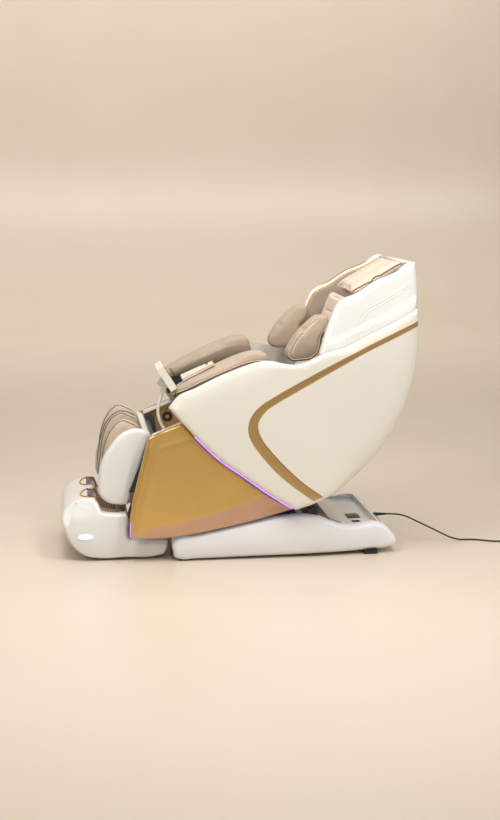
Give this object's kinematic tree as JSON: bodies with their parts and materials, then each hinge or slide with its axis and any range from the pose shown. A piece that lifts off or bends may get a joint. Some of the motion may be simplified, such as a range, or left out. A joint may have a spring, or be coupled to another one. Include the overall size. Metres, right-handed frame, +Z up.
{
  "type": "massage chair",
  "caption": "Full-body massage chair with a slim base, swept side wings, hood, padded seat, lifting leg rest and a tablet on a gooseneck.",
  "frame": {"origin": "on the floor, under the middle of the chair's bounding box without its cord", "axes": "+X towards the sitter's left, -Y the way the sitter faces, +Z up"},
  "size_m": [0.78, 2.1427, 1.264],
  "materials": {
    "white_gloss": "glossy warm white",
    "gold_satin": "satin champagne gold",
    "deck_grey": "pale grey-white",
    "frame_steel": "black powder coat",
    "bright_steel": "ground steel",
    "black_plastic": "matte black",
    "holder_white": "off-white",
    "rubber_black": "black rubber",
    "cream_leather": "light cream leather",
    "taupe_leather": "taupe leather",
    "beige_leather": "beige leather",
    "brown_fabric": "striped brown fabric",
    "roller_rubber": "tan rubber",
    "lamp_blue": "ice blue lamp",
    "purple_light": "purple light strip",
    "screen_glass": "dark screen",
    "cord_black": "black cord"
  },
  "bodies": {
    "base": {"base_shell": "white_gloss", "base_deck": "deck_grey", "switch_housing": "black_plastic", "base_frame": "frame_steel", "base_feet": "rubber_black", "power_supply": "bright_steel", "air_pump": "black_plastic", "control_box": "black_plastic", "strain_relief": "rubber_black", "power_cord": "cord_black", "cord_coil": "cord_black", "cord_plug": "black_plastic"},
    "power_rocker": {"power_rocker": "black_plastic"},
    "carriage": {"slide_carriage": "frame_steel", "slide_blocks": "black_plastic", "hinge_brackets": "frame_steel"},
    "lift_tube": {"lift_actuator_tube": "bright_steel"},
    "lift_rod": {"lift_actuator_rod": "bright_steel"},
    "seat": {"seat_frame": "frame_steel", "seat_pan": "frame_steel", "seat_cushion": "cream_leather", "side_panel_left": "gold_satin", "side_panel_right": "gold_satin", "panel_decks": "beige_leather", "light_strips": "purple_light", "gooseneck": "holder_white", "gooseneck_socket": "holder_white", "tablet_cable": "cord_black", "cable_winding": "cord_black"},
    "recline_tube": {"recline_actuator_tube": "bright_steel"},
    "recline_rod": {"recline_actuator_rod": "bright_steel"},
    "leg_tube": {"leg_actuator_tube": "bright_steel"},
    "leg_rod": {"leg_actuator_rod": "bright_steel"},
    "tablet_mount": {"tablet": "screen_glass", "tablet_holder": "holder_white"},
    "back": {"wing_shell_left": "white_gloss", "wing_shell_right": "white_gloss", "back_frame": "frame_steel", "back_cover": "white_gloss", "hood_shell": "white_gloss", "back_cushion": "cream_leather", "shoulder_pads": "taupe_leather", "armrest_pads": "taupe_leather", "armrest_trays": "black_plastic", "quick_panel": "holder_white"},
    "travel_screw": {"travel_screw": "bright_steel"},
    "massage_carriage": {"massage_carriage": "bright_steel"},
    "massage_arms": {"massage_arms": "bright_steel"},
    "rollers_upper": {"rollers_upper": "roller_rubber"},
    "rollers_lower": {"rollers_lower": "roller_rubber"},
    "pillow": {"pillow": "cream_leather"},
    "quick_button": {"quick_button": "holder_white"},
    "leg": {"leg_frame": "frame_steel", "calf_shell": "white_gloss", "calf_pads": "beige_leather"},
    "foot": {"foot_box": "white_gloss", "foot_linings": "brown_fabric", "foot_lamps": "lamp_blue"},
    "foot_rollers": {"foot_rollers": "roller_rubber"}
  },
  "joints": [
    {"name": "seat_slide", "type": "slide", "parent": "base", "child": "carriage", "axis": [0, -1, 0], "range_m": [0, 0.13]},
    {"name": "zero_gravity_tilt", "type": "hinge", "parent": "carriage", "child": "seat", "pos_m": [0, 0.32, 0.19], "axis": [-1, 0, 0], "range_deg": [0, 10]},
    {"name": "recline", "type": "hinge", "parent": "seat", "child": "back", "pos_m": [0, 0.18, 0.43], "axis": [-1, 0, 0], "range_deg": [0, 30]},
    {"name": "leg_lift", "type": "hinge", "parent": "seat", "child": "leg", "pos_m": [0, -0.345, 0.515], "axis": [-1, 0, 0], "range_deg": [0, 80]},
    {"name": "foot_extend", "type": "slide", "parent": "leg", "child": "foot", "axis": [0, -0.3148, -0.9491], "range_m": [0, 0.11]},
    {"name": "recline_swing", "type": "hinge", "parent": "seat", "child": "recline_tube", "pos_m": [0, -0.07, 0.322], "axis": [1, 0, 0], "range_deg": [-0.967, 0]},
    {"name": "recline_stroke", "type": "slide", "parent": "recline_tube", "child": "recline_rod", "axis": [0, 0.9968, -0.0797], "range_m": [-0.06957, 0]},
    {"name": "leg_swing", "type": "hinge", "parent": "seat", "child": "leg_tube", "pos_m": [0, -0.11, 0.18], "axis": [1, 0, 0], "range_deg": [0, 1.52]},
    {"name": "leg_stroke", "type": "slide", "parent": "leg_tube", "child": "leg_rod", "axis": [0, -0.6539, 0.7566], "range_m": [0, 0.07104]},
    {"name": "lift_swing", "type": "hinge", "parent": "carriage", "child": "lift_tube", "pos_m": [0, -0.122, 0.112], "axis": [1, 0, 0], "range_deg": [-5.05, 0]},
    {"name": "lift_stroke", "type": "slide", "parent": "lift_tube", "child": "lift_rod", "axis": [0, 0.0936, 0.9956], "range_m": [0, 0.07621]},
    {"name": "roller_travel", "type": "slide", "parent": "back", "child": "massage_carriage", "axis": [0, 0.4848, 0.8746], "range_m": [0, 0.44]},
    {"name": "screw_turn", "type": "hinge", "parent": "back", "child": "travel_screw", "pos_m": [0, 0.41789, 0.67451], "axis": [0, 0.4848, 0.8746], "continuous": true},
    {"name": "arm_sway", "type": "hinge", "parent": "massage_carriage", "child": "massage_arms", "pos_m": [0, 0.29311, 0.54016], "axis": [1, 0, 0], "range_deg": [-5, 5]},
    {"name": "upper_roller_turn", "type": "hinge", "parent": "massage_arms", "child": "rollers_upper", "pos_m": [0, 0.30093, 0.58728], "axis": [1, 0, 0], "continuous": true},
    {"name": "lower_roller_turn", "type": "hinge", "parent": "massage_arms", "child": "rollers_lower", "pos_m": [0, 0.2573, 0.50856], "axis": [1, 0, 0], "continuous": true},
    {"name": "pillow_flip", "type": "hinge", "parent": "back", "child": "pillow", "pos_m": [0, 0.738, 1.262], "axis": [-1, 0, 0], "range_deg": [0, 90]},
    {"name": "quick_press", "type": "slide", "parent": "back", "child": "quick_button", "axis": [0, 0.3932, -0.9195], "range_m": [0, 0.0015], "stiffness_N_per_m": 400},
    {"name": "tablet_tilt", "type": "hinge", "parent": "seat", "child": "tablet_mount", "pos_m": [0, -0.322, 0.742], "axis": [1, 0, 0], "range_deg": [-8, 15]},
    {"name": "foot_roller_turn", "type": "hinge", "parent": "foot", "child": "foot_rollers", "pos_m": [0, -0.596, 0.068], "axis": [1, 0, 0], "continuous": true},
    {"name": "rocker_press", "type": "hinge", "parent": "base", "child": "power_rocker", "pos_m": [0.195, 0.532, 0.111], "axis": [1, 0, 0], "range_deg": [0, 14]}
  ],
  "couplings": [
    {"joint": "seat_slide", "follows": "recline", "m_per_rad": 0.24828},
    {"joint": "foot_extend", "follows": "leg_lift", "m_per_rad": 0.07878},
    {"joint": "recline_swing", "follows": "recline", "ratio": -0.03162},
    {"joint": "recline_stroke", "follows": "recline", "m_per_rad": -0.13027},
    {"joint": "leg_swing", "follows": "leg_lift", "ratio": 0.01863},
    {"joint": "leg_stroke", "follows": "leg_lift", "m_per_rad": 0.04988},
    {"joint": "lift_swing", "follows": "zero_gravity_tilt", "ratio": -0.49471},
    {"joint": "lift_stroke", "follows": "zero_gravity_tilt", "m_per_rad": 0.42809},
    {"joint": "screw_turn", "follows": "roller_travel", "rad_per_m": 314.16},
    {"joint": "upper_roller_turn", "follows": "roller_travel", "rad_per_m": 41.667},
    {"joint": "lower_roller_turn", "follows": "roller_travel", "rad_per_m": 41.667}
  ]
}
